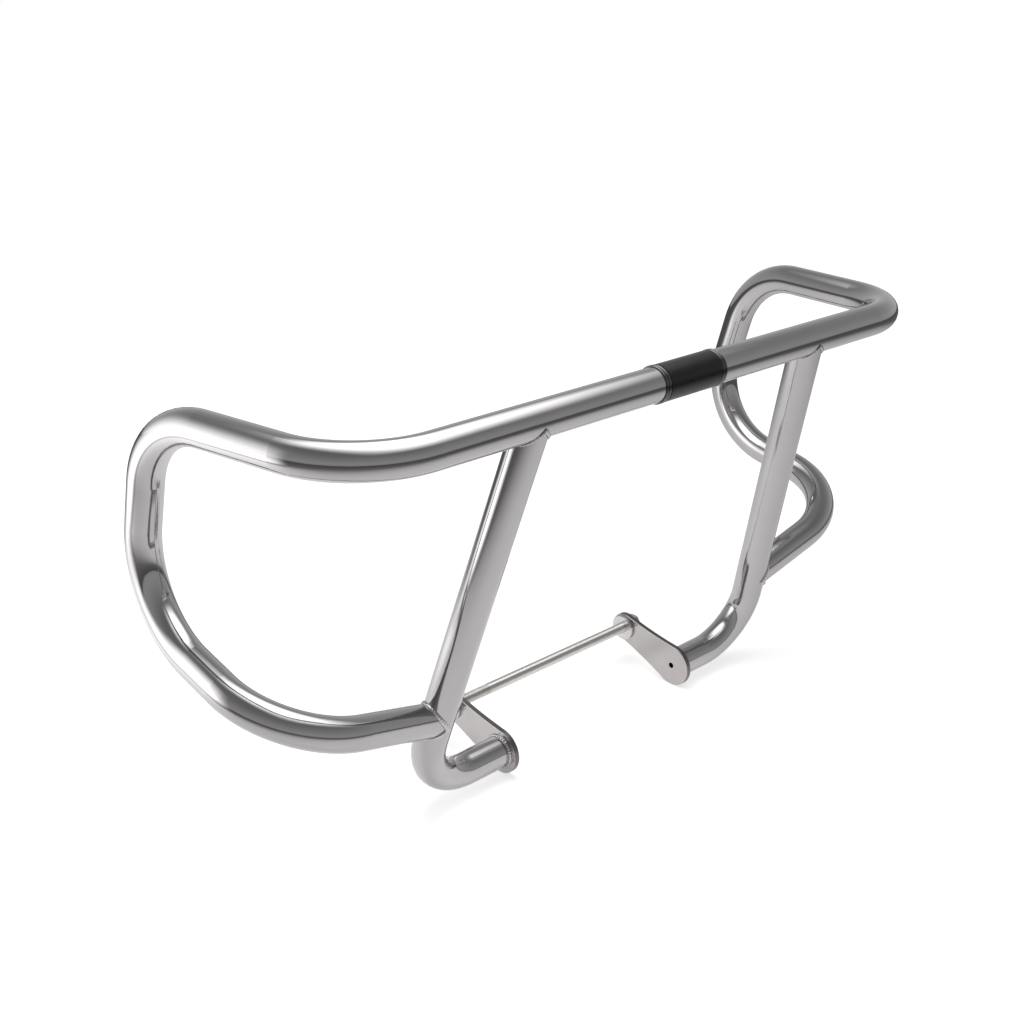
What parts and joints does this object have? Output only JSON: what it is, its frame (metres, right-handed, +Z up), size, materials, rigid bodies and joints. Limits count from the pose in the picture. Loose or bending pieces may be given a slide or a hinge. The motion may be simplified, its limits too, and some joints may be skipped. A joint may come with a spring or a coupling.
{
  "type": "motorcycle crash bars",
  "caption": "Chrome-plated tubular engine guard for a motorcycle: a bent hoop with a loop on each side, welded to uprights whose foot plates a through rod clamps to the frame.",
  "frame": {"origin": "on the through rod's axis, halfway between the two mounting plates", "axes": "+X along the rod, to the right as seen from the front of the motorcycle, which is the rider's left, +Y to the rear of the motorcycle, +Z up"},
  "size_m": [0.725, 0.2596, 0.3629],
  "materials": {
    "chrome_tube": "bright decorative chrome plate on polished steel tube",
    "chrome_plate": "chrome plate on flat steel, a little softer than the tubes",
    "chrome_weld": "chrome plate over rippled weld beads",
    "bright_steel": "bright plated steel fasteners",
    "black_sleeve": "satin black plastic sleeve, bare"
  },
  "bodies": {
    "root": {"hoop": "chrome_tube", "left_upright": "chrome_tube", "right_upright": "chrome_tube", "left_mount_plate": "chrome_plate", "right_mount_plate": "chrome_plate", "left_crossbar_weld": "chrome_weld", "right_crossbar_weld": "chrome_weld", "left_hoop_end_weld": "chrome_weld", "right_hoop_end_weld": "chrome_weld", "left_plate_weld": "chrome_weld", "right_plate_weld": "chrome_weld", "through_rod": "bright_steel", "left_clamp_disc": "bright_steel", "right_spacer_disc": "bright_steel", "right_washer": "bright_steel", "left_nut": "bright_steel", "right_nut": "bright_steel", "crossbar_sleeve": "black_sleeve"}
  },
  "joints": []
}
